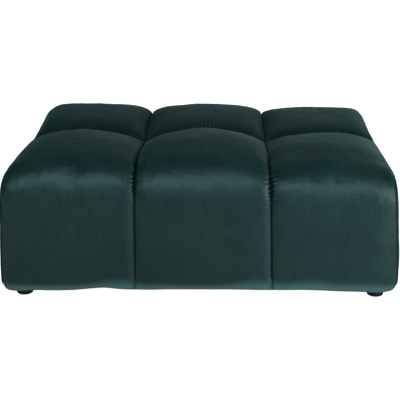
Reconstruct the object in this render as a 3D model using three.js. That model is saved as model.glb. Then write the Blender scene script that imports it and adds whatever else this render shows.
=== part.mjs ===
// Rectangular channel-tufted pouf: one filled, upholstered body on four short round feet.
// Millimetres, +Z up, +X to the right seen from the front, -Y towards the front.
// The origin is on the floor, under the middle of the pouf.
//
// The body is worked out in two steps. First comes the seam form: the shape in which the seams lie, a box with a
// rounded top edge and a small turn-under at the bottom. Then each block between the seams is puffed out from it,
// along the seam form's own normal, by a pillow function that is nothing at the seams.
import * as THREE from 'three';

// ---------------------------------------------------------------- driving dimensions
const UNDERSIDE = 30;        // height of the body's flat underside above the floor
const SEAM_TOP = 351;        // height of the seams on top
const HALF_DEPTH = 393;      // centre to the seams on the front and back faces
const TOP_ROUND = 70.5;      // radius at which the seams turn from the front face to the top
const TURN_UNDER = 22;       // radius of the turn-under at the bottom edge
const CORNER_ROUND = 26;     // the end seams draw in by this radius at the bottom corners
const HEM_FILL = 1;          // the column seams' grooves are filled by this share at the bottom edge
const HEM_RISE = 45;         // and this far above it they have their full depth
const CROSS_DIP = 4.5;       // the cross channel lies this much below the seams around it
const SEAM_SAG = 1;          // the column seams sag this much between the cross channel and the edge
const BACK_LIFT = 2.5;       // the seams of the back row lie this much higher than the front row's

const FACE_PUFF = 17.5;      // swell of the front and back faces between their seams
const TOP_PUFF_FRONT = 75;   // swell of the front row's tops
const TOP_PUFF_BACK = 54.5;  // swell of the back row's tops
const PUFF_RUN = 230;        // distance along the cloth, from the top of the face, in which the top swell is reached
const PUFF_RISE = 0.875;     // how early in that distance it rises: lower is earlier
const LEVEL_RUN = 198;       // distance along the cloth after which the top starts to fall to the cross channel
const SHOULDER_RISE = 100;   // a block's shoulder is fuller or flatter by its share, growing over this distance
const SHOULDER_FALL = 120;   // and dying away over this one
const END_PUFF = 12;       // swell of each half of the end panels

const FLARE = 0.0375;        // the bottom is wider than the top by this share
const BACK_NARROW = 0.0085;  // the back is narrower than the middle by this share

// x of each seam at the front face and at the back face
const SEAMS = [
  { seam: 'left_end', front: -520.5, back: -520.5 },
  { seam: 'left_column', front: -166, back: -180 },
  { seam: 'right_column', front: 193, back: 190 },
  { seam: 'right_end', front: 520.5, back: 520.5 },
];

// share of the full top swell that each column's block reaches, and the front block's extra at its shoulder
const COLUMNS = [
  { column: 'left', frontCrown: 0.868, backCrown: 1.15, shoulder: 7 },
  { column: 'middle', frontCrown: 0.932, backCrown: 1.1, shoulder: 1.5 },
  { column: 'right', frontCrown: 0.712, backCrown: 0.825, shoulder: -7.5 },
];

// cross-sections of a block between two seams: swell = (1 - |a|^power)^root, a = -1 and 1 at the seams
const SECTIONS = {
  face: { power: 5.0, root: 0.5 },             // front and back faces
  topInner: { power: 2.08, root: 0.3 },        // top, on the side of a column seam
  topOuterFront: { power: 1.73, root: 0.56 },  // top, on the side of an end seam, front row
  topOuterBack: { power: 5.2, root: 0.33 },    // the same in the back row
  channelInner: { power: 1.48, root: 0.55 },   // close to the cross channel, column seam side
  channelOuter: { power: 2.3, root: 0.62 },    // close to the cross channel, end seam side
  channelFall: { power: 3.1, root: 0.5 },      // fall of the tops into the cross channel
  endDepth: { power: 5.0, root: 0.5 },         // end panels, across each half
  endHeight: { power: 2.4, root: 1.0 },        // end panels, from bottom to top
};

// feet: centres, and the turned outline as radius and height
const FOOT_X = 490;
const FOOT_Y = 346;
const FOOT_OUTLINE = [
  { radius: 0, height: 0 },
  { radius: 19.5, height: 0 },
  { radius: 22, height: 1.5 },
  { radius: 23.3, height: 5 },
  { radius: 24, height: 22 },
  { radius: 22, height: UNDERSIDE - 0.3 },
  { radius: 0, height: UNDERSIDE - 0.3 },
];

// how finely the surfaces are divided
const DIVISIONS = { turnUnder: 2, face: 5, topRound: 8, top: 12, column: 12, foot: 32 };

// ---------------------------------------------------------------- small helpers
const clamp01 = (t) => Math.min(1, Math.max(0, t));
const ease = (t) => { const c = clamp01(t); return c * c * (3 - 2 * c); };
const mix = (a, b, t) => a + (b - a) * t;
const pillow = (a, power, root) => Math.pow(Math.max(0, 1 - Math.pow(Math.min(1, Math.abs(a)), power)), root);

// ---------------------------------------------------------------- the seam form, as a profile from front to back
// Each point holds y, z, the outward normal and where it is: zone and t along that zone.
function frontHalfProfile() {
  const points = [];
  const add = (zone, t, y, z, normalY, normalZ) => points.push({ zone, t, y, z, normalY, normalZ });
  for (let i = 0; i < DIVISIONS.turnUnder; i++) {
    const t = i / DIVISIONS.turnUnder, a = t * Math.PI / 2;
    add('turnUnder', t, -(HALF_DEPTH - TURN_UNDER) - TURN_UNDER * Math.sin(a),
      UNDERSIDE + TURN_UNDER * (1 - Math.cos(a)), -Math.sin(a), -Math.cos(a));
  }
  for (let i = 0; i < DIVISIONS.face; i++) {
    const t = i / DIVISIONS.face;
    add('face', t, -HALF_DEPTH, mix(UNDERSIDE + TURN_UNDER, SEAM_TOP - TOP_ROUND, t), -1, 0);
  }
  for (let i = 0; i < DIVISIONS.topRound; i++) {
    const t = i / DIVISIONS.topRound, a = t * Math.PI / 2;
    add('topRound', t, -(HALF_DEPTH - TOP_ROUND) - TOP_ROUND * Math.cos(a),
      SEAM_TOP - TOP_ROUND * (1 - Math.sin(a)), -Math.cos(a), Math.sin(a));
  }
  for (let i = 0; i <= DIVISIONS.top; i++) {
    // closer together towards the cross channel, where the tops fall steeply
    const t = 1 - Math.pow(1 - i / DIVISIONS.top, 1.5);
    add('top', t, -(HALF_DEPTH - TOP_ROUND) * (1 - t), SEAM_TOP, 0, 1);
  }
  return points;
}

// swell of the middle of a block at a profile point, and how much the point counts as top and as channel side
function swell(point, topPuff) {
  const arc = TOP_ROUND * Math.PI / 2;
  const whole = arc + HALF_DEPTH - TOP_ROUND;
  let run = 0;
  if (point.zone === 'topRound') run = arc * point.t;
  if (point.zone === 'top') run = arc + (point.y + HALF_DEPTH - TOP_ROUND);
  const shoulder = ease(run / SHOULDER_RISE) * (1 - ease((run - SHOULDER_RISE) / SHOULDER_FALL));
  let puff = 0, topShare = 0, channelShare = 0;
  if (point.zone === 'turnUnder') puff = 0.9 * FACE_PUFF * Math.pow(ease(point.t), 0.6);
  if (point.zone === 'face') puff = FACE_PUFF * (0.9 + 0.1 * ease(point.t / 0.7));
  if (point.zone === 'topRound' || point.zone === 'top') {
    const rise = Math.pow(ease(run / PUFF_RUN), PUFF_RISE);
    const fall = pillow(clamp01((run - LEVEL_RUN) / (whole - LEVEL_RUN)), SECTIONS.channelFall.power, SECTIONS.channelFall.root);
    puff = mix(FACE_PUFF, topPuff, rise) * fall;
    topShare = point.zone === 'top' ? 1 : ease(point.t);
  }
  if (point.zone === 'top') channelShare = ease((run - 0.45 * whole) / (0.5 * whole));
  return { puff, shoulder, topShare, channelShare };
}

// the whole profile, front to back, with the seams' own sag and dip on the top
function wholeProfile() {
  const front = frontHalfProfile();
  const make = (point, back) => {
    const { puff, shoulder, topShare, channelShare } = swell(point, back ? TOP_PUFF_BACK : TOP_PUFF_FRONT);
    const side = back ? -1 : 1;
    let z = point.z;
    if (point.zone === 'top') {
      const t = clamp01(Math.abs(point.y) / (HALF_DEPTH - TOP_ROUND));
      z -= SEAM_SAG * 4 * t * (1 - t) + CROSS_DIP * Math.pow(1 - t, 6);
    }
    if (back) z += BACK_LIFT * topShare * ease(Math.abs(point.y) / 100);
    return { ...point, y: point.y * side, z, normalY: point.normalY * side, puff, shoulder, topShare, channelShare, back };
  };
  const list = front.map((p) => make(p, false));
  for (let i = front.length - 2; i >= 0; i--) list.push(make(front[i], true));
  return list;
}

// stations across one column, close together at the seams
function stationsAcross() {
  const list = [];
  for (let i = 0; i <= DIVISIONS.column; i++) {
    const t = -1 + 2 * i / DIVISIONS.column;
    list.push(Math.sign(t) * (1 - Math.pow(1 - Math.abs(t), 1.9)));
  }
  return list;
}

// the slight lean of the whole form: wider at the bottom, narrower at the back
function lean(x, y, z) {
  const height = (z - UNDERSIDE) / (SEAM_TOP - UNDERSIDE);
  return x * (1 + FLARE * (1 - height)) * (1 - BACK_NARROW * y / HALF_DEPTH);
}

// one point of the strips: column number, a across it, and the profile point
function stripPoint(column, a, point) {
  const share = (1 - point.y / HALF_DEPTH) / 2;            // 1 at the front face, 0 at the back face
  const low = SEAMS[column], high = SEAMS[column + 1];
  const drop = clamp01((UNDERSIDE + CORNER_ROUND - point.z) / CORNER_ROUND);
  const inset = CORNER_ROUND * (1 - Math.sqrt(Math.max(0, 1 - drop * drop)));
  let xLow = mix(low.back, low.front, share), xHigh = mix(high.back, high.front, share);
  if (column === 0) xLow += inset;
  if (column === COLUMNS.length - 1) xHigh -= inset;
  const x = mix(xLow, xHigh, (a + 1) / 2);
  const outer = (column === 0 && a < 0) || (column === COLUMNS.length - 1 && a > 0);
  const top = outer ? (point.back ? SECTIONS.topOuterBack : SECTIONS.topOuterFront) : SECTIONS.topInner;
  const channel = outer ? SECTIONS.channelOuter : SECTIONS.channelInner;
  const power = mix(SECTIONS.face.power, mix(top.power, channel.power, point.channelShare), point.topShare);
  const root = mix(SECTIONS.face.root, mix(top.root, channel.root, point.channelShare), point.topShare);
  const crown = mix(1, point.back ? COLUMNS[column].backCrown : COLUMNS[column].frontCrown, point.topShare);
  let section = pillow(a, power, root);
  if (!outer) section += (1 - section) * HEM_FILL * (1 - ease((point.z - UNDERSIDE) / HEM_RISE));
  const extra = point.back ? 0 : COLUMNS[column].shoulder * point.shoulder;
  const puff = (point.puff + extra) * section * crown;
  const y = point.y + point.normalY * puff, z = point.z + point.normalZ * puff;
  return [lean(x, y, z), y, z];
}

// ---------------------------------------------------------------- the body as one closed mesh
function bodyGeometry() {
  const profile = wholeProfile();
  const across = stationsAcross();
  const columns = [];
  COLUMNS.forEach((_, c) => across.forEach((a, i) => { if (c === 0 || i > 0) columns.push({ c, a }); }));
  const positions = [], triangles = [];
  const addPoint = (p) => { positions.push(...p); return positions.length / 3 - 1; };
  const addQuad = (a, b, c, d) => { triangles.push(a, b, c, a, c, d); };

  // strips: front face, over the top, back face
  const grid = columns.map(({ c, a }) => profile.map((point) => addPoint(stripPoint(c, a, point))));
  for (let i = 0; i + 1 < grid.length; i++) {
    for (let j = 0; j + 1 < profile.length; j++) addQuad(grid[i][j], grid[i + 1][j], grid[i + 1][j + 1], grid[i][j + 1]);
  }

  // end panels: a patch between the two upright edges, the top edge and a straight bottom edge
  const upright = DIVISIONS.turnUnder + DIVISIONS.face + DIVISIONS.topRound / 2;
  const last = profile.length - 1;
  const bottomEdges = [];
  const endPanel = (edge, side) => {
    const at = (j) => edge.map((id) => id)[j];
    const pos = (id) => positions.slice(3 * id, 3 * id + 3);
    const topCount = last - 2 * upright;
    const corner = { fb: pos(at(0)), bb: pos(at(last)), ft: pos(at(upright)), bt: pos(at(last - upright)) };
    const ids = [];
    for (let u = 0; u <= topCount; u++) {
      ids.push([]);
      const topPoint = pos(at(upright + u));
      const s = (topPoint[1] - corner.ft[1]) / (corner.bt[1] - corner.ft[1]);
      for (let w = 0; w <= upright; w++) {
        if (u === 0) { ids[u].push(at(w)); continue; }
        if (u === topCount) { ids[u].push(at(last - w)); continue; }
        if (w === upright) { ids[u].push(at(upright + u)); continue; }
        const left = pos(at(w)), right = pos(at(last - w));
        const h = (left[2] - corner.fb[2]) / (corner.ft[2] - corner.fb[2]);
        const p = [0, 1, 2].map((k) => {
          const bottom = mix(corner.fb[k], corner.bb[k], s);
          return (1 - h) * bottom + h * topPoint[k] + (1 - s) * left[k] + s * right[k]
            - ((1 - s) * (1 - h) * corner.fb[k] + s * (1 - h) * corner.bb[k] + (1 - s) * h * corner.ft[k] + s * h * corner.bt[k]);
        });
        const across2 = Math.abs(2 * Math.abs(p[1]) / HALF_DEPTH - 1);
        const up2 = 2 * (p[2] - UNDERSIDE) / (SEAM_TOP - UNDERSIDE) - 1;
        p[0] += side * END_PUFF * pillow(across2, SECTIONS.endDepth.power, SECTIONS.endDepth.root)
          * pillow(up2, SECTIONS.endHeight.power, SECTIONS.endHeight.root);
        ids[u].push(addPoint(p));
      }
    }
    for (let u = 0; u < topCount; u++) {
      for (let w = 0; w < upright; w++) {
        const q = [ids[u][w], ids[u][w + 1], ids[u + 1][w + 1], ids[u + 1][w]];
        if (side > 0) q.reverse();
        addQuad(...q);
      }
    }
    bottomEdges.push(ids.map((column) => column[0]));
  };
  endPanel(grid[0], -1);
  endPanel(grid[grid.length - 1], 1);

  // flat underside: one polygon inside the turn-under and the end panels
  const rim = [
    ...grid.map((column) => column[0]),                       // front, left to right
    ...bottomEdges[1].slice(1),                               // right, front to back
    ...grid.map((column) => column[last]).reverse().slice(1), // back, right to left
    ...bottomEdges[0].slice(1, -1).reverse(),                 // left, back to front
  ];
  const flat = rim.map((id) => new THREE.Vector2(positions[3 * id], positions[3 * id + 1]));
  for (const [a, b, c] of THREE.ShapeUtils.triangulateShape(flat, [])) triangles.push(rim[a], rim[c], rim[b]);

  const geometry = new THREE.BufferGeometry();
  geometry.setAttribute('position', new THREE.Float32BufferAttribute(positions, 3));
  geometry.setIndex(triangles);
  geometry.computeVertexNormals();
  return geometry;
}

function footGeometry() {
  const outline = FOOT_OUTLINE.map(({ radius, height }) => new THREE.Vector2(radius, height));
  const geometry = new THREE.LatheGeometry(outline, DIVISIONS.foot);
  geometry.rotateX(Math.PI / 2);
  return geometry;
}

// ---------------------------------------------------------------- the pouf
const velvet = new THREE.MeshStandardMaterial({ color: 0x213d3c, roughness: 0.85, metalness: 0 });
const footPlastic = new THREE.MeshStandardMaterial({ color: 0x101214, roughness: 0.45, metalness: 0 });

const pouf = new THREE.Group();

const body = new THREE.Mesh(bodyGeometry(), velvet);
body.name = 'upholstered_body';
pouf.add(body);

const FEET = [
  { name: 'foot_front_left', x: -FOOT_X, y: -FOOT_Y },
  { name: 'foot_front_right', x: FOOT_X, y: -FOOT_Y },
  { name: 'foot_back_left', x: -FOOT_X, y: FOOT_Y },
  { name: 'foot_back_right', x: FOOT_X, y: FOOT_Y },
];
for (const { name, x, y } of FEET) {
  const foot = new THREE.Mesh(footGeometry(), footPlastic);
  foot.name = name;
  foot.position.set(x, y, 0);
  pouf.add(foot);
}

export default pouf;
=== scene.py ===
import math

import bpy
import numpy as np
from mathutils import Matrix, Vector


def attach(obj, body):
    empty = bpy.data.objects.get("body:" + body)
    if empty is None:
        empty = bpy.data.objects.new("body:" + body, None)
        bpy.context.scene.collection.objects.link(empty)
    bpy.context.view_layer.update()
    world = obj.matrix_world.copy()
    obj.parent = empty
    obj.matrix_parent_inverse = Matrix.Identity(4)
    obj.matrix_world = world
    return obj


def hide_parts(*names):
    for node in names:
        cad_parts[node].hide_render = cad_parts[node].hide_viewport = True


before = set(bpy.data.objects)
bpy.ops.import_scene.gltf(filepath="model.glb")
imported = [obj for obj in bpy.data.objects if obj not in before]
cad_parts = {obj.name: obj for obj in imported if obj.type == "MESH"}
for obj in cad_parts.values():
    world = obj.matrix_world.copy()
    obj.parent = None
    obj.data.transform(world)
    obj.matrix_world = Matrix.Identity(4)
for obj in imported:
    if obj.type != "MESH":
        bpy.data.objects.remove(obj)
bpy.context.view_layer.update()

# ------------------------------------------------------------------------------------------ camera
# The photograph is taken from the front, a little to the right of the middle, from above.
VIEW_X, VIEW_Y, VIEW_Z = 0.0945, -2.7845, 1.0678
VIEW_DOWN, VIEW_TURN, VIEW_ROLL = math.radians(18.02), math.radians(2.098), math.radians(-0.5015)
VIEW_FOCAL = 945.7 / 400 * 36.0


def make_camera():
    ct, st = math.cos(VIEW_TURN), math.sin(VIEW_TURN)
    cd, sd = math.cos(VIEW_DOWN), math.sin(VIEW_DOWN)
    forward = np.array([-st * cd, ct * cd, -sd])
    right = np.array([ct, st, 0.0])
    up = np.cross(right, forward)
    cr, sr = math.cos(VIEW_ROLL), math.sin(VIEW_ROLL)
    right, up = cr * right + sr * up, -sr * right + cr * up
    data = bpy.data.cameras.new("camera")
    data.sensor_width = 36.0
    data.lens = VIEW_FOCAL
    data.clip_start, data.clip_end = 0.05, 100.0
    data.dof.use_dof = False
    cam = bpy.data.objects.new("camera", data)
    bpy.context.scene.collection.objects.link(cam)
    from mathutils import Matrix
    m = Matrix.Identity(4)
    for k in range(3):
        m[k][0], m[k][1], m[k][2] = right[k], up[k], -forward[k]
    m[0][3], m[1][3], m[2][3] = VIEW_X, VIEW_Y, VIEW_Z
    cam.matrix_world = m
    bpy.context.scene.camera = cam


make_camera()

# ------------------------------------------------------------------------------------------ sizes, in metres
UNDERSIDE = 0.030
SEAM_TOP = 0.351
HALF_DEPTH = 0.393
TOP_ROUND = 0.0705
TURN_UNDER = 0.022
CORNER_ROUND = (0.026, 0.032)       # left, right
HEM_FILL = 1.0
HEM_RISE = 0.045
CROSS_DIP = 0.0045
SEAM_SAG = 0.001
BACK_LIFT = 0.0025
FACE_PUFF = 0.0175
TOP_PUFF = (0.075, 0.0545)          # front row, back row
PUFF_RUN = 0.230
PUFF_RISE = 0.875
LEVEL_RUN = 0.198
SHOULDER_RISE, SHOULDER_FALL = 0.100, 0.120
SHOULDER = (0.0070, 0.0015, -0.0075)
END_PUFF = 0.012
FLARE = 0.0375
BACK_NARROW = 0.0085
SEAM_FRONT = (-0.5205, -0.166, 0.193, 0.5205)
SEAM_BACK = (-0.5205, -0.180, 0.190, 0.5205)
CROWN_FRONT = (0.868, 0.932, 0.712)
CROWN_BACK = (1.150, 1.10, 0.825)
# sections: power and root
FACE = (5.0, 0.5)
TOP_INNER = (2.08, 0.30)
TOP_OUTER = ((1.73, 0.56), (5.2, 0.33))
CHANNEL_INNER = (1.48, 0.55)
CHANNEL_OUTER = (2.3, 0.62)
CHANNEL_FALL = (3.1, 0.50)
END_DEPTH = (5.0, 0.5)
END_HEIGHT = (2.4, 1.0)


def ease(t):
    t = np.clip(t, 0.0, 1.0)
    return t * t * (3.0 - 2.0 * t)


def pillow(a, power, root):
    return np.maximum(0.0, 1.0 - np.minimum(1.0, np.abs(a)) ** power) ** root


def mix(a, b, t):
    return a + (b - a) * t


# ------------------------------------------------------------------------------------------ the seam form
TURN_LEN = TURN_UNDER * math.pi / 2
FACE_LEN = SEAM_TOP - TOP_ROUND - UNDERSIDE - TURN_UNDER
ROUND_LEN = TOP_ROUND * math.pi / 2
FLAT_LEN = HALF_DEPTH - TOP_ROUND
HALF_LEN = TURN_LEN + FACE_LEN + ROUND_LEN + FLAT_LEN
RUN_0 = TURN_LEN + FACE_LEN          # length along the profile at which the top rounding starts


def profile(s):
    """The seam form at length s along the cloth from the front's bottom edge, 0 to 2 HALF_LEN."""
    s = np.asarray(s, float)
    back = s > HALF_LEN
    r = np.where(back, 2 * HALF_LEN - s, s)
    side = np.where(back, -1.0, 1.0)
    y, z = np.zeros_like(r), np.zeros_like(r)
    ny, nz = np.zeros_like(r), np.zeros_like(r)
    puff, top, channel = np.zeros_like(r), np.zeros_like(r), np.zeros_like(r)
    # turn-under
    t = np.clip(r / TURN_LEN, 0, 1)
    a = t * math.pi / 2
    k = r < TURN_LEN
    y[k] = (-(HALF_DEPTH - TURN_UNDER) - TURN_UNDER * np.sin(a))[k]
    z[k] = (UNDERSIDE + TURN_UNDER * (1 - np.cos(a)))[k]
    ny[k], nz[k] = -np.sin(a)[k], -np.cos(a)[k]
    puff[k] = (0.9 * FACE_PUFF * ease(t) ** 0.6)[k]
    # face
    k = (r >= TURN_LEN) & (r < RUN_0)
    t = np.clip((r - TURN_LEN) / FACE_LEN, 0, 1)
    y[k], z[k] = -HALF_DEPTH, (UNDERSIDE + TURN_UNDER + t * FACE_LEN)[k]
    ny[k], nz[k] = -1, 0
    puff[k] = (FACE_PUFF * (0.9 + 0.1 * ease(t / 0.7)))[k]
    # top rounding and top
    run = r - RUN_0
    whole = ROUND_LEN + FLAT_LEN
    rise = ease(run / PUFF_RUN) ** PUFF_RISE
    fall = pillow(np.clip((run - LEVEL_RUN) / (whole - LEVEL_RUN), 0, 1), *CHANNEL_FALL)
    peak = np.where(back, TOP_PUFF[1], TOP_PUFF[0])
    shoulder = np.where(back, 0.0, ease(run / SHOULDER_RISE) * (1 - ease((run - SHOULDER_RISE) / SHOULDER_FALL)))
    k = run >= 0
    puff[k] = (mix(FACE_PUFF, peak, rise) * fall)[k]
    k = (run >= 0) & (run < ROUND_LEN)
    t = np.clip(run / ROUND_LEN, 0, 1)
    a = t * math.pi / 2
    y[k] = (-(HALF_DEPTH - TOP_ROUND) - TOP_ROUND * np.cos(a))[k]
    z[k] = (SEAM_TOP - TOP_ROUND * (1 - np.sin(a)))[k]
    ny[k], nz[k] = -np.cos(a)[k], np.sin(a)[k]
    top[k] = ease(t)[k]
    k = run >= ROUND_LEN
    y[k], z[k] = (-(HALF_DEPTH - TOP_ROUND) + (run - ROUND_LEN))[k], SEAM_TOP
    ny[k], nz[k] = 0, 1
    top[k] = 1
    channel[k] = ease((run - 0.45 * whole) / (0.5 * whole))[k]
    t = np.clip(np.abs(y) / (HALF_DEPTH - TOP_ROUND), 0, 1)
    z[k] -= (SEAM_SAG * 4 * t * (1 - t) + CROSS_DIP * (1 - t) ** 6)[k]
    z += np.where(back, BACK_LIFT * top * ease(np.abs(y) / 0.1), 0)
    return dict(s=s, r=r, y=y * side, z=z, ny=ny * side, nz=nz, puff=puff, shoulder=shoulder, top=top, channel=channel, back=back)


def lean(x, y, z):
    h = (z - UNDERSIDE) / (SEAM_TOP - UNDERSIDE)
    return x * (1 + FLARE * (1 - h)) * (1 - BACK_NARROW * y / HALF_DEPTH)


def strips(q, s):
    """The strips' cloth at stations q (0 to 3 across the three columns) and lengths s: an array [q, s, xyz]."""
    p = profile(s)
    share = (1 - p["y"] / HALF_DEPTH) / 2
    seams = [mix(b, f, share) for f, b in zip(SEAM_FRONT, SEAM_BACK)]
    for k, way, r in ((0, 1, CORNER_ROUND[0]), (3, -1, CORNER_ROUND[1])):
        drop = np.clip((UNDERSIDE + r - p["z"]) / r, 0, 1)
        seams[k] = seams[k] + way * r * (1 - np.sqrt(np.maximum(0, 1 - drop * drop)))
    out = np.zeros((len(q), len(s), 3))
    for i, v in enumerate(q):
        c = min(int(v), 2)
        a = 2 * (v - c) - 1
        x = mix(seams[c], seams[c + 1], (a + 1) / 2)
        outer = (c == 0 and a < 0) or (c == 2 and a > 0)
        if outer:
            tp = np.where(p["back"], TOP_OUTER[1][0], TOP_OUTER[0][0])
            tr = np.where(p["back"], TOP_OUTER[1][1], TOP_OUTER[0][1])
            cp, cr = CHANNEL_OUTER
        else:
            tp, tr = TOP_INNER
            cp, cr = CHANNEL_INNER
        power = mix(FACE[0], mix(tp, cp, p["channel"]), p["top"])
        root = mix(FACE[1], mix(tr, cr, p["channel"]), p["top"])
        crown = mix(1.0, np.where(p["back"], CROWN_BACK[c], CROWN_FRONT[c]), p["top"])
        section = pillow(a, power, root)
        if not outer:
            fill = HEM_FILL * (1 - ease((p["z"] - UNDERSIDE) / HEM_RISE))
            section = section + (1 - section) * fill
        puff = (p["puff"] + SHOULDER[c] * p["shoulder"]) * section * crown
        y, z = p["y"] + p["ny"] * puff, p["z"] + p["nz"] * puff
        out[i, :, 0], out[i, :, 1], out[i, :, 2] = lean(x, y, z), y, z
    return out


def end_panel(edge, upright, side):
    """The end panel inside one edge of the strips: an array [u, w, xyz], u front to back and w from the bottom up."""
    last = len(edge) - 1
    top = edge[upright:last - upright + 1]
    fb, bb, ft, bt = edge[0], edge[last], edge[upright], edge[last - upright]
    s = ((top[:, 1] - ft[1]) / (bt[1] - ft[1]))[:, None, None]
    left, right = edge[:upright + 1][None], edge[::-1][:upright + 1][None]
    h = ((left[..., 2] - fb[2]) / (ft[2] - fb[2]))[..., None]
    bottom = mix(fb, bb, s)
    p = ((1 - h) * bottom + h * top[:, None, :] + (1 - s) * left + s * right
         - ((1 - s) * (1 - h) * fb + s * (1 - h) * bb + (1 - s) * h * ft + s * h * bt))
    p[0], p[-1], p[:, -1] = edge[:upright + 1], edge[::-1][:upright + 1], top
    across = np.abs(2 * np.abs(p[..., 1]) / HALF_DEPTH - 1)
    high = 2 * (p[..., 2] - UNDERSIDE) / (SEAM_TOP - UNDERSIDE) - 1
    bulge = END_PUFF * pillow(across, *END_DEPTH) * pillow(high, *END_HEIGHT)
    bulge[0] = bulge[-1] = 0
    bulge[:, -1] = 0
    p[..., 0] += side * bulge
    return p


def spread(parts):
    """Stations from a table of (from, to, how many), joined."""
    out = []
    for a, b, n in parts:
        out += list(np.linspace(a, b, n, endpoint=False))
    return np.array(out + [parts[-1][1]])


def interpolation(old, new):
    """Matrix that carries values at old stations to new stations, linearly."""
    k = np.clip(np.searchsorted(old, new, side="right") - 1, 0, len(old) - 2)
    t = (new - old[k]) / (old[k + 1] - old[k])
    m = np.zeros((len(new), len(old)))
    m[np.arange(len(new)), k] = 1 - t
    m[np.arange(len(new)), k + 1] += t
    return m


def smoothed(d, turns):
    for _ in range(turns):
        e = d.copy()
        e[1:-1] = 0.5 * d[1:-1] + 0.25 * (d[2:] + d[:-2])
        f = e.copy()
        f[:, 1:-1] = 0.5 * e[:, 1:-1] + 0.25 * (e[:, 2:] + e[:, :-2])
        d = f
    return d


def folds(d):
    return 0.7 * (smoothed(d, 1) - smoothed(d, 22))


def closed_faces(grid_shape, upright):
    """Faces of the closed body: the strips, the two end panels and the flat underside."""
    m, n = grid_shape
    ids = np.arange(m * n).reshape(m, n)
    faces = [np.stack([ids[:-1, :-1], ids[1:, :-1], ids[1:, 1:], ids[:-1, 1:]], -1).reshape(-1, 4)]
    count = m * n
    ends = []
    last = n - 1
    nu = last - 2 * upright
    for row, side in ((0, -1), (m - 1, 1)):
        e = np.zeros((nu + 1, upright + 1), int)
        e[0], e[-1] = ids[row, :upright + 1], ids[row, ::-1][:upright + 1]
        e[:, -1] = ids[row, upright:last - upright + 1]
        inner = np.arange((nu - 1) * upright).reshape(nu - 1, upright) + count
        e[1:-1, :-1] = inner
        count += inner.size
        f = np.stack([e[:-1, :-1], e[:-1, 1:], e[1:, 1:], e[1:, :-1]], -1).reshape(-1, 4)
        faces.append(f if side < 0 else f[:, ::-1])
        ends.append(e)
    rim = list(ids[:, 0]) + list(ends[1][1:, 0]) + list(ids[::-1, last][1:]) + list(ends[0][1:-1, 0][::-1])
    return np.concatenate(faces), ends, rim, count


def all_points(grid, ends_xyz, upright):
    inner = [e[1:-1, :-1].reshape(-1, 3) for e in ends_xyz]
    return np.concatenate([grid.reshape(-1, 3)] + inner)


def mesh_object(name, points, faces, extra=()):
    me = bpy.data.meshes.new(name)
    me.from_pydata(points.tolist(), [], [list(map(int, f)) for f in faces] + [list(map(int, f)) for f in extra])
    me.validate()
    me.update()
    ob = bpy.data.objects.new(name, me)
    bpy.context.scene.collection.objects.link(ob)
    return ob


# ------------------------------------------------------------------------------------------ simulated cloth
SIM_UP = spread([(0, TURN_LEN, 2), (TURN_LEN, RUN_0, 18), (RUN_0, RUN_0 + ROUND_LEN, 8),
                 (RUN_0 + ROUND_LEN, HALF_LEN, 28)])
SIM_S = np.concatenate([SIM_UP, (2 * HALF_LEN - SIM_UP[:-1])[::-1]])
SIM_Q = spread([(0, 1, 30), (1, 2, 30), (2, 3, 30)])
SIM_UPRIGHT = 2 + 18 + 4
MOVE_CAP = 0.008


def simulate():
    """Lets a coarse copy of the cover settle under pressure between its fixed seams. Returns how far each point moved."""
    grid = strips(SIM_Q, SIM_S)
    ends = [end_panel(grid[0], SIM_UPRIGHT, -1), end_panel(grid[-1], SIM_UPRIGHT, 1)]
    faces, ids, rim, count = closed_faces(grid.shape[:2], SIM_UPRIGHT)
    points = all_points(grid, ends, SIM_UPRIGHT)
    ob = mesh_object("settling_cloth", points, faces, [rim[::-1]])
    m, n = grid.shape[:2]
    fixed = np.zeros(len(points), bool)
    g = np.arange(m * n).reshape(m, n)
    for k in (0, 30, 60, 90):
        fixed[g[k]] = True
    fixed[g[:, len(SIM_UP) - 1]] = True
    fixed[g[:, :2]] = True
    fixed[g[:, -2:]] = True
    for e in ids:
        fixed[e[:, :2]] = True
        mid = (e.shape[0] - 1) // 2
        fixed[e[mid]] = True
    group = ob.vertex_groups.new(name="seams")
    group.add([int(i) for i in np.flatnonzero(fixed)], 1.0, "REPLACE")
    mod = ob.modifiers.new("cloth", "CLOTH")
    st = mod.settings
    st.quality = 5
    st.mass = 0.35
    st.tension_stiffness = st.compression_stiffness = 12
    st.shear_stiffness = 5
    st.bending_stiffness = 0.35
    st.tension_damping = st.compression_damping = 12
    st.shear_damping = 10
    st.air_damping = 4
    st.vertex_group_mass = "seams"
    st.pin_stiffness = 1.0
    st.use_pressure = True
    st.uniform_pressure_force = 2.0
    st.shrink_min = -0.018
    st.effector_weights.gravity = 0.0
    mod.collision_settings.use_collision = False
    mod.collision_settings.use_self_collision = False
    mod.point_cache.frame_start, mod.point_cache.frame_end = 1, 20
    sc = bpy.context.scene
    for f in range(1, 21):
        sc.frame_set(f)
    dg = bpy.context.evaluated_depsgraph_get()
    ev = ob.evaluated_get(dg)
    after = np.zeros(len(points) * 3)
    ev.data.vertices.foreach_get("co", after)
    move = after.reshape(-1, 3) - points
    sc.frame_set(1)
    bpy.data.objects.remove(ob, do_unlink=True)
    size = np.linalg.norm(move, axis=1, keepdims=True)
    print("cloth moved: mean %.4f most %.4f" % (size.mean(), size.max()))
    move *= MOVE_CAP * np.tanh(size / MOVE_CAP) / np.maximum(size, 1e-9)
    # the sizes above already hold the swell of each block, so only the folds and unevenness are kept
    return folds(move[:m * n].reshape(m, n, 3)), [folds(move[e]) for e in ids]


# ------------------------------------------------------------------------------------------ the fine cover
GATHER_0, GATHER_1 = RUN_0 - 0.005, RUN_0 + 0.125    # the column seams are gathered over the front edge
GATHER_PITCH = 0.0108
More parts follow.
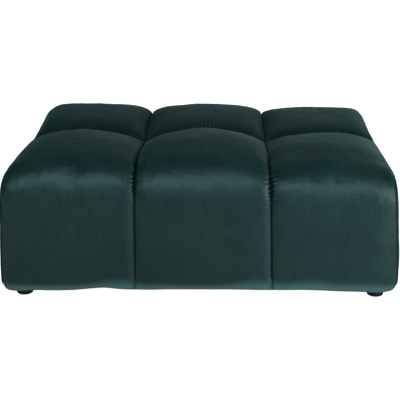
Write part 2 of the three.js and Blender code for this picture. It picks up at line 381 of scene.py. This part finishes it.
# seam: row of gathers starts this far up from the front edge's rounding
GATHERS = {1: 0.012, 2: -0.002}
FINE_UP = spread([(0, TURN_LEN, 8), (TURN_LEN, TURN_LEN + 0.03, 6), (TURN_LEN + 0.03, GATHER_0, 16), (GATHER_0, GATHER_1, 54),
                  (GATHER_1, HALF_LEN - 0.05, 18), (HALF_LEN - 0.05, HALF_LEN, 12)])
FINE_S = np.concatenate([FINE_UP, (2 * HALF_LEN - FINE_UP[:-1])[::-1]])
FINE_UPRIGHT = int(np.argmin(np.abs(FINE_UP - (RUN_0 + ROUND_LEN / 2))))
# across a column: close together at the seams, and in the middle column also where the cross channel is puckered
NEAR_SEAM = [(0, 0.006, 4), (0.006, 0.03, 6), (0.03, 0.16, 17)]
FAR_SEAM = [(1 - b, 1 - a, n) for a, b, n in NEAR_SEAM[::-1]]
OUTER_Q = spread(NEAR_SEAM + [(0.16, 0.84, 58)] + FAR_SEAM)
MIDDLE_Q = spread(NEAR_SEAM + [(0.16, 0.42, 20), (0.42, 0.66, 32), (0.66, 0.84, 14)] + FAR_SEAM)
FINE_Q = np.concatenate([OUTER_Q[:-1], 1 + MIDDLE_Q[:-1], 2 + OUTER_Q])


def grid_normals(p):
    du = np.gradient(p, axis=0)
    dv = np.gradient(p, axis=1)
    n = np.cross(du, dv)
    return n / np.maximum(np.linalg.norm(n, axis=2, keepdims=True), 1e-12)


def waves(x, y, seeds):
    """A few long crossing waves, for unevenness: x and y in metres."""
    out = np.zeros(np.broadcast(x, y).shape)
    for fx, fy, ph, amp in seeds:
        out += amp * np.sin(2 * math.pi * (x * fx + y * fy) + ph)
    return out


# crossing waves: turns per metre across and along, phase, height
UNEVEN = [(5.1, 3.3, 0.4, 0.0005), (-4.2, 6.1, 2.2, 0.0005), (9.3, -5.2, 4.1, 0.0003), (2.2, 11.5, 1.3, 0.0003),
          (13.0, 8.0, 5.0, 0.00018), (-11.0, 15.0, 0.9, 0.00016), (31.0, 9.0, 0.3, 0.00013), (-37.0, 14.0, 1.9, 0.00011),
          (26.0, -17.0, 3.7, 0.00014), (44.0, 6.0, 2.6, 0.00007)]
# the hem hangs a little unevenly: middle of each rise or drop, its width, its height
HEM = [(-0.505, 0.040, -0.0062), (-0.40, 0.08, -0.0042), (-0.262, 0.045, 0.0058), (0.06, 0.16, 0.0022), (0.28, 0.06, 0.0020),
       (0.40, 0.05, -0.0020), (0.49, 0.05, -0.0060)]

# painted highlight: above the hem the base colour is painted lighter, standing in for light and sheen from the bright
# floor, in a strip that is taller in places: middle of each, its width, how much taller
HEM_HIGHLIGHT_STRIP = [(-0.225, 0.062, 0.023), (-0.10, 0.030, 0.005), (0.150, 0.060, 0.023), (0.300, 0.075, 0.021), (0.44, 0.10, 0.010)]


def softened(grid, centre, reach, sigma):
    """The grid with each strip's line eased over a length sigma along the cloth, within reach of a place on it."""
    total, m = 0.0, 0.0
    for k in np.linspace(-2.2, 2.2, 23):
        w = math.exp(-0.5 * k * k)
        m = m + w * interpolation(FINE_S, np.clip(FINE_S + k * sigma, FINE_S[0], FINE_S[-1]))
        total += w
    eased = np.einsum("ab,qbk->qak", m / total, grid)
    share = np.exp(-(np.abs(FINE_S - centre) / reach) ** 2)[None, :, None]
    return grid + (eased - grid) * share


def cover():
    grid = strips(FINE_Q, FINE_S)
    for centre in (RUN_0 + ROUND_LEN, 2 * HALF_LEN - RUN_0 - ROUND_LEN):
        grid = softened(grid, centre, 0.045, 0.016)
    ends = [end_panel(grid[0], FINE_UPRIGHT, -1), end_panel(grid[-1], FINE_UPRIGHT, 1)]
    gm, em = simulate()
    wq, ws = interpolation(SIM_Q, FINE_Q), interpolation(SIM_S, FINE_S)
    gm = np.einsum("ab,bck->ack", wq, np.einsum("cd,bdk->bck", ws, gm))
    grid = grid + gm
    for k in range(2):
        sim_w = SIM_S[:SIM_UPRIGHT + 1]
        fine_w = np.clip(FINE_S[:FINE_UPRIGHT + 1], sim_w[0], sim_w[-1])
        su = SIM_S[SIM_UPRIGHT:len(SIM_S) - SIM_UPRIGHT]
        fu = np.clip(FINE_S[FINE_UPRIGHT:len(FINE_S) - FINE_UPRIGHT], su[0], su[-1])
        e = np.einsum("ab,bck->ack", interpolation(su, fu), np.einsum("cd,bdk->bck", interpolation(sim_w, fine_w), em[k]))
        ends[k] = ends[k] + e
    m, n = grid.shape[:2]
    q = FINE_Q[:, None] + 0 * FINE_S[None, :]
    s = FINE_S[None, :] + 0 * FINE_Q[:, None]
    normal = grid_normals(grid)
    x = grid[..., 0]
    pits = np.zeros((m, n))

    # gathers along the column seams, where the strips turn over the front edge, and a weaker set at the back edge:
    # a row of small pits in the seam, with pleats running out of the bridges between them
    for c in (1, 2):
        seam = grid[np.argmin(np.abs(FINE_Q - c))]
        d = np.abs(x - seam[None, :, 0])
        side = np.sign(FINE_Q[:, None] - c)
        for start, way, amp in ((RUN_0, 1, 1.0), (2 * HALF_LEN - RUN_0, -1, 0.75)):
            u = way * (s - start) - GATHERS[c]          # along the seam, upwards over the edge
            window = ease((u - 0.002) / 0.02) * (1 - ease((u - 0.105) / 0.08))
            pitch = GATHER_PITCH * (1 + 0.5 * ease((u - 0.06) / 0.06))
            phase = 2 * math.pi * u / pitch + 0.9 * np.sin(2 * math.pi * u / 0.051 + 2.1 * c)
            strong = window * (0.70 + 0.30 * np.exp(-((u - 0.055) / 0.03) ** 2))
            pit = np.exp(-(d / 0.0042) ** 2) * (0.5 + 0.5 * np.cos(phase))
            pits = np.maximum(pits, amp * window * pit)
            pleat = np.exp(-(d / (0.009 + 0.003 * np.sin(2 * math.pi * u / 0.073 + c))) ** 1.3) * np.cos(phase + 0.9 * side) * (1 - np.exp(-(d / 0.0025) ** 2))
            grid = grid + normal * (amp * strong * (0.0022 * pleat - 0.0062 * pit))[..., None]
            grid[..., 0] += amp * strong * 0.0021 * np.exp(-(d / 0.008) ** 2) * np.sin(phase + 0.4)
    r = np.minimum(s, 2 * HALF_LEN - s)
    a = 2 * (q - np.minimum(np.floor(q), 2)) - 1
    inside = pillow(a, 4.0, 1.0) * ease(r / 0.05) * ease((HALF_LEN - r) / 0.08)
    # the filling is never quite even
    uneven = waves(x, s, UNEVEN) * inside
    # pleats at the bottom corners, where the strips are drawn in to the end panels
    from_end = np.where(x < 0, x - x[:1], x[-1:] - x)
    corner = np.exp(-(from_end / np.where(x < 0, 0.042, 0.030)) ** 2) * (1 - ease((r - 0.004) / 0.060)) * np.where(x < 0, 1.0, 0.5)
    drawn = np.cos(2 * math.pi * from_end / 0.0112 + 1.4 * np.sin(s * 41) + np.where(x < 0, 0.4, 2.0))
    pleats = 0.0034 * corner * drawn
    # puckers where the cross channel is pulled down, most in the middle of the back row
    above = np.abs(s - HALF_LEN)
    reach = ease(above / 0.005) * (1 - ease((above - 0.030) / np.where(s > HALF_LEN, 0.070, 0.03)))
    much = np.where(s > HALF_LEN, 0.22 + 0.78 * np.exp(-((x - 0.022) / 0.045) ** 2), 0.30)
    fold = np.cos(2 * math.pi * x / 0.0125 + 1.1 * np.sin(x * 37) + 6 * above)
    puckers = 0.0022 * reach * much * fold
    grid = grid + normal * (uneven + pleats + puckers)[..., None]
    low = 1 - ease(r / 0.075)
    for middle, width, lift in HEM:
        grid[..., 2] += low * lift * np.exp(-((x - middle) / width) ** 2)
    # the end seams lie a little sunk between the strips and the end panels
    sunk = np.exp(-(from_end / 0.0045) ** 2) * ease((r - 0.01) / 0.03)
    grid = grid - normal * (0.0022 * sunk)[..., None]
    ends[0][0], ends[0][-1] = grid[0][:FINE_UPRIGHT + 1], grid[0][::-1][:FINE_UPRIGHT + 1]
    ends[1][0], ends[1][-1] = grid[-1][:FINE_UPRIGHT + 1], grid[-1][::-1][:FINE_UPRIGHT + 1]
    faces, ids, rim, count = closed_faces(grid.shape[:2], FINE_UPRIGHT)
    points = all_points(grid, ends, FINE_UPRIGHT)
    # where the hem hangs low, it steps up to the flat underside, clear of the feet
    inner = points[rim] * (0.9993, 0.9993, 1)
    inner[:, 2] = np.maximum(inner[:, 2], UNDERSIDE)
    step = len(points) + np.arange(len(rim))
    wall = np.stack([np.roll(rim, -1), rim, step, np.roll(step, -1)], -1)
    points = np.concatenate([points, inner])
    ob = mesh_object("pouf_cover", points, faces, list(wall) + [step[::-1]])
    for f in ob.data.polygons:
        f.use_smooth = True
    # painted shade: the values below darken the cloth's base colour and take its shine away where shade falls: down
    # in the column seams and the pits of the gathers, broadly about the back seams, along the cross channel, in the
    # end seams, in the troughs of the puckers and the corner pleats, and a little towards the hem except on the right
    # column
    near = np.zeros((m, n))
    for c in (1, 2):
        seam = grid[np.argmin(np.abs(FINE_Q - c))]
        d = np.abs(grid[..., 0] - seam[None, :, 0])
        near = np.maximum(near, np.exp(-(d / mix(0.0032, 0.0048, ease((r - RUN_0 - 0.08) / 0.06))) ** 2))
        near = np.maximum(near, 0.66 * np.exp(-(d / 0.021) ** 2) * ease((s - HALF_LEN) / 0.02) * (1 - ease((s - 2 * HALF_LEN + RUN_0 + 0.02) / 0.06)))
    near = np.maximum(near * (0.75 + 0.25 * pits), pits)
    near = np.maximum(near, np.exp(-((s - HALF_LEN) / 0.004) ** 2))
    near = np.maximum(near, 0.45 * np.exp(-((s - HALF_LEN - 0.022) / 0.030) ** 2))
    near = np.maximum(near, 0.8 * np.exp(-(from_end / 0.0022) ** 2))
    near = np.maximum(near, 0.6 * reach * much * np.maximum(0, -fold))
    near = np.maximum(near, 0.7 * corner * np.maximum(0, -drawn))
    near = np.maximum(near, 0.15 * ease((0.19 - r) / 0.12) * (1 - ease((x - 0.10) / 0.14)))
    shade = np.concatenate([near.reshape(-1), np.zeros(len(points) - m * n)])
    attribute = ob.data.attributes.new("painted_shade", "FLOAT", "POINT")
    attribute.data.foreach_set("value", shade.astype(np.float32))
    # painted highlight: the base colour is painted lighter where the cloth turns under at the hem, standing in for
    # light and sheen from the bright floor, in a strip left of each front seam, standing in for light from the right,
    # and on the crests of the puckers and the corner pleats
    highlight_strip_height = 0.024 + sum(more * np.exp(-((x - middle) / width) ** 2) for middle, width, more in HEM_HIGHLIGHT_STRIP)
    lit_left_of_seam, at_seam = np.zeros((m, n)), np.zeros((m, n))
    for c in (1, 2):
        seam = grid[np.argmin(np.abs(FINE_Q - c))]
        lit_left_of_seam = np.maximum(lit_left_of_seam, np.exp(-((seam[None, :, 0] - grid[..., 0] - 0.010) / 0.009) ** 2))
        at_seam = np.maximum(at_seam, np.exp(-((seam[None, :, 0] - grid[..., 0]) / 0.006) ** 2))
    painted_highlight_amount = (1 - ease((grid[..., 2] - UNDERSIDE - 0.003) / highlight_strip_height)) ** 1.35
    painted_highlight_amount = painted_highlight_amount * (0.82 - 0.10 * ease((-0.26 - x) / 0.06) - 0.14 * ease((x - 0.30) / 0.10)) * (1 - 0.6 * at_seam)
    painted_highlight_amount = np.maximum(painted_highlight_amount, 0.11 * lit_left_of_seam * (1 - ease((r - RUN_0 - 0.05) / 0.06)))
    painted_highlight_amount = np.maximum(painted_highlight_amount, 0.13 * reach * much * np.maximum(0, fold))
    painted_highlight_amount = np.clip(painted_highlight_amount + corner * (0.10 + 0.40 * drawn), 0, 1)
    attribute = ob.data.attributes.new("painted_highlight", "FLOAT", "POINT")
    attribute.data.foreach_set("value", np.concatenate([painted_highlight_amount.reshape(-1), np.zeros(len(points) - m * n)]).astype(np.float32))
    return ob


# ------------------------------------------------------------------------------------------ materials
def material(name):
    mat = bpy.data.materials.new(name)
    mat.use_nodes = True
    nt = mat.node_tree
    bsdf = nt.nodes["Principled BSDF"]
    return mat, nt, bsdf


def velvet():
    mat, nt, bsdf = material("velvet")
    link = nt.links.new
    tc = nt.nodes.new("ShaderNodeTexCoord")
    # brushed pile: broad, soft patches that lie a little differently
    patches = nt.nodes.new("ShaderNodeTexNoise")
    patches.inputs["Scale"].default_value = 9.0
    patches.inputs["Detail"].default_value = 5.0
    patches.inputs["Roughness"].default_value = 0.6
    link(tc.outputs["Object"], patches.inputs["Vector"])
    ramp = nt.nodes.new("ShaderNodeValToRGB")
    ramp.color_ramp.elements[0].position = 0.32
    ramp.color_ramp.elements[0].color = (0.0026, 0.0085, 0.0089, 1)
    ramp.color_ramp.elements[1].position = 0.70
    ramp.color_ramp.elements[1].color = (0.0043, 0.0130, 0.0127, 1)
    # and fine streaks along the pile
    along = nt.nodes.new("ShaderNodeMapping")
    along.inputs["Scale"].default_value = (150.0, 22.0, 22.0)
    link(tc.outputs["Object"], along.inputs["Vector"])
    streaks = nt.nodes.new("ShaderNodeTexNoise")
    streaks.inputs["Scale"].default_value = 1.0
    streaks.inputs["Detail"].default_value = 3.0
    link(along.outputs["Vector"], streaks.inputs["Vector"])
    both = nt.nodes.new("ShaderNodeMath")
    both.operation = "MULTIPLY_ADD"
    both.inputs[1].default_value = 0.80
    link(streaks.outputs["Fac"], both.inputs[0])
    most = nt.nodes.new("ShaderNodeMath")
    most.operation = "MULTIPLY_ADD"
    most.inputs[1].default_value, most.inputs[2].default_value = 0.75, -0.275
    link(patches.outputs["Fac"], most.inputs[0])
    link(most.outputs["Value"], both.inputs[2])
    link(both.outputs["Value"], ramp.inputs["Fac"])
    # painted shade: down in the seams, folds and pits the base colour is mixed towards a dark teal that stands in for
    # shade
    painted_shade = nt.nodes.new("ShaderNodeAttribute")
    painted_shade.attribute_name = "painted_shade"
    darker = nt.nodes.new("ShaderNodeMix")
    darker.data_type, darker.blend_type = "RGBA", "MIX"
    link(painted_shade.outputs["Fac"], darker.inputs["Factor"])
    link(ramp.outputs["Color"], darker.inputs["A"])
    darker.inputs["B"].default_value = (0.0015, 0.0030, 0.0032, 1)
    # painted highlight: at the hem, left of the seams and on fold crests the colour is mixed towards a lighter teal
    # that stands in for light falling there
    painted_highlight = nt.nodes.new("ShaderNodeAttribute")
    painted_highlight.attribute_name = "painted_highlight"
    lighter = nt.nodes.new("ShaderNodeMix")
    lighter.data_type = "RGBA"
    lighter.inputs["B"].default_value = (0.033, 0.068, 0.068, 1)
    link(painted_highlight.outputs["Fac"], lighter.inputs["Factor"])
    link(darker.outputs["Result"], lighter.inputs["A"])
    link(lighter.outputs["Result"], bsdf.inputs["Base Color"])
    rough = nt.nodes.new("ShaderNodeMapRange")
    rough.inputs["From Min"].default_value, rough.inputs["From Max"].default_value = 0.3, 0.7
    rough.inputs["To Min"].default_value, rough.inputs["To Max"].default_value = 0.30, 0.38
    link(patches.outputs["Fac"], rough.inputs["Value"])
    link(rough.outputs["Result"], bsdf.inputs["Roughness"])
    # and the painted shade also takes the shine, both specular and sheen, away there
    for socket, value in (("Specular IOR Level", 0.13), ("Sheen Weight", 0.07)):
        less = nt.nodes.new("ShaderNodeMath")
        less.operation = "MULTIPLY_ADD"
        less.inputs[1].default_value, less.inputs[2].default_value = -0.95 * value, value
        link(painted_shade.outputs["Fac"], less.inputs[0])
        link(less.outputs["Value"], bsdf.inputs[socket])
    bsdf.inputs["Specular Tint"].default_value = (0.68, 0.99, 1.0, 1)
    bsdf.inputs["Sheen Roughness"].default_value = 0.35
    bsdf.inputs["Sheen Tint"].default_value = (0.50, 0.92, 0.90, 1)
    # fine pile
    pile = nt.nodes.new("ShaderNodeTexNoise")
    pile.inputs["Scale"].default_value = 650.0
    pile.inputs["Detail"].default_value = 2.0
    link(tc.outputs["Object"], pile.inputs["Vector"])
    bump = nt.nodes.new("ShaderNodeBump")
    bump.inputs["Strength"].default_value = 0.25
    bump.inputs["Distance"].default_value = 0.0006
    link(pile.outputs["Fac"], bump.inputs["Height"])
    # the pile leans a little this way and that
    squash = nt.nodes.new("ShaderNodeMapping")
    squash.inputs["Scale"].default_value = (34.0, 40.0, 52.0)
    link(tc.outputs["Object"], squash.inputs["Vector"])
    leaning = nt.nodes.new("ShaderNodeTexNoise")
    leaning.inputs["Scale"].default_value = 1.0
    leaning.inputs["Detail"].default_value = 4.0
    link(squash.outputs["Vector"], leaning.inputs["Vector"])
    wide = nt.nodes.new("ShaderNodeBump")
    wide.inputs["Strength"].default_value = 0.30
    wide.inputs["Distance"].default_value = 0.0045
    link(leaning.outputs["Fac"], wide.inputs["Height"])
    # brushing leaves a grain along the pile
    grain = nt.nodes.new("ShaderNodeBump")
    grain.inputs["Strength"].default_value = 0.5
    grain.inputs["Distance"].default_value = 0.0012
    link(streaks.outputs["Fac"], grain.inputs["Height"])
    link(wide.outputs["Normal"], grain.inputs["Normal"])
    link(grain.outputs["Normal"], bump.inputs["Normal"])
    link(bump.outputs["Normal"], bsdf.inputs["Normal"])
    return mat


def foot_plastic():
    mat, nt, bsdf = material("foot_plastic")
    link = nt.links.new
    bsdf.inputs["Roughness"].default_value = 0.50
    bsdf.inputs["Specular IOR Level"].default_value = 0.25
    tc = nt.nodes.new("ShaderNodeTexCoord")
    noise = nt.nodes.new("ShaderNodeTexNoise")
    noise.inputs["Scale"].default_value = 220.0
    link(tc.outputs["Object"], noise.inputs["Vector"])
    ramp = nt.nodes.new("ShaderNodeValToRGB")
    ramp.color_ramp.elements[0].color = (0.0015, 0.0015, 0.0018, 1)
    ramp.color_ramp.elements[1].color = (0.0035, 0.0035, 0.0038, 1)
    link(noise.outputs["Fac"], ramp.inputs["Fac"])
    link(ramp.outputs["Color"], bsdf.inputs["Base Color"])
    bump = nt.nodes.new("ShaderNodeBump")
    bump.inputs["Strength"].default_value = 0.15
    bump.inputs["Distance"].default_value = 0.0004
    link(noise.outputs["Fac"], bump.inputs["Height"])
    link(bump.outputs["Normal"], bsdf.inputs["Normal"])
    return mat


VELVET, PLASTIC = velvet(), foot_plastic()

body = cover()
body.data.materials.append(VELVET)
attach(body, "root")
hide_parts("upholstered_body")

for name in ("foot_front_left", "foot_front_right", "foot_back_left", "foot_back_right"):
    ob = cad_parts[name]
    ob.data.materials.clear()
    ob.data.materials.append(PLASTIC)

# ------------------------------------------------------------------------------------------ floor, light
fm, fnt, fb = material("floor")
fb.inputs["Base Color"].default_value = (0.25, 0.25, 0.25, 1)
fb.inputs["Roughness"].default_value = 0.9
fb.inputs["Specular IOR Level"].default_value = 0.0
fb.inputs["Emission Color"].default_value = (1, 1, 1, 1)
fb.inputs["Emission Strength"].default_value = 0.98
# in two pieces, so that only the near one gives a shine to the cloth
for name, y0, y1 in (("floor_near", -30, -0.40), ("floor_far", -0.40, 30)):
    me = bpy.data.meshes.new(name)
    me.from_pydata([(-30, y0, 0), (30, y0, 0), (30, y1, 0), (-30, y1, 0)], [], [(0, 1, 2, 3)])
    me.materials.append(fm)
    floor = bpy.data.objects.new(name, me)
    bpy.context.scene.collection.objects.link(floor)
    floor.visible_glossy = name == "floor_near"

# a pale wall all round, far off, that only the camera sees
me = bpy.data.meshes.new("backdrop")
ring = [(26 * math.cos(2 * math.pi * k / 64), 26 * math.sin(2 * math.pi * k / 64)) for k in range(64)]
me.from_pydata([(x, y, z) for z in (-0.5, 14.0) for x, y in ring], [],
               [(k, (k + 1) % 64, 64 + (k + 1) % 64, 64 + k) for k in range(64)])
backdrop = bpy.data.objects.new("backdrop", me)
bpy.context.scene.collection.objects.link(backdrop)
wm, wnt, wb = material("backdrop")
wb.inputs["Base Color"].default_value = (0, 0, 0, 1)
wb.inputs["Specular IOR Level"].default_value = 0.0
wb.inputs["Emission Color"].default_value = (1, 1, 1, 1)
wb.inputs["Emission Strength"].default_value = 1.0
me.materials.append(wm)
backdrop.visible_diffuse = backdrop.visible_glossy = backdrop.visible_shadow = False

# a studio in soft light: broad soft lights in front, high and low, one to the left, and dim ones behind
# azimuth from the front towards the right, elevation, tightness, strength
SOFT_LIGHTS = [(0, 5, 30, 3.5), (-20, 41, 30, 7.3), (18, 43, 30, 6.8), (-8, 56, 30, 4.4), (-14, 27, 30, 0.8), (-50, 35, 20, 3.2),
               (140, 20, 14, 0.30), (180, 50, 16, 0.20), (180, 25, 16, 0.08)]
ROOM = 0.02
world = bpy.data.worlds.new("world")
bpy.context.scene.world = world
world.use_nodes = True
wn, wl = world.node_tree.nodes, world.node_tree.links.new
place = wn.new("ShaderNodeTexCoord")
so_far = None
for azimuth, elevation, tightness, strength in SOFT_LIGHTS:
    az, el = math.radians(azimuth), math.radians(elevation)
    facing = wn.new("ShaderNodeVectorMath")
    facing.operation = "DOT_PRODUCT"
    facing.inputs[1].default_value = (math.sin(az) * math.cos(el), -math.cos(az) * math.cos(el), math.sin(el))
    wl(place.outputs["Generated"], facing.inputs[0])
    front = wn.new("ShaderNodeMath")
    front.operation = "MAXIMUM"
    front.inputs[1].default_value = 0.0
    wl(facing.outputs["Value"], front.inputs[0])
    soft = wn.new("ShaderNodeMath")
    soft.operation = "POWER"
    soft.inputs[1].default_value = tightness
    wl(front.outputs["Value"], soft.inputs[0])
    total = wn.new("ShaderNodeMath")
    total.operation = "MULTIPLY_ADD"
    total.inputs[1].default_value = strength
    total.inputs[2].default_value = ROOM
    wl(soft.outputs["Value"], total.inputs[0])
    if so_far is not None:
        wl(so_far, total.inputs[2])
    so_far = total.outputs["Value"]
wl(so_far, wn["Background"].inputs["Strength"])
wn["Background"].inputs["Color"].default_value = (0.84, 1.0, 1.0, 1)

# a soft box to the right, near enough to favour that side
box = bpy.data.lights.new("side_light", "AREA")
box.shape, box.size, box.size_y, box.energy = "RECTANGLE", 0.9, 0.85, 22.5
side_light = bpy.data.objects.new("side_light", box)
bpy.context.scene.collection.objects.link(side_light)
side_light.location = (1.20, -0.97, 0.50)
side_light.rotation_euler = (Vector((0.35, -0.35, 0.2)) - side_light.location).to_track_quat("-Z", "Y").to_euler()

bpy.context.scene.view_settings.view_transform = "Standard"
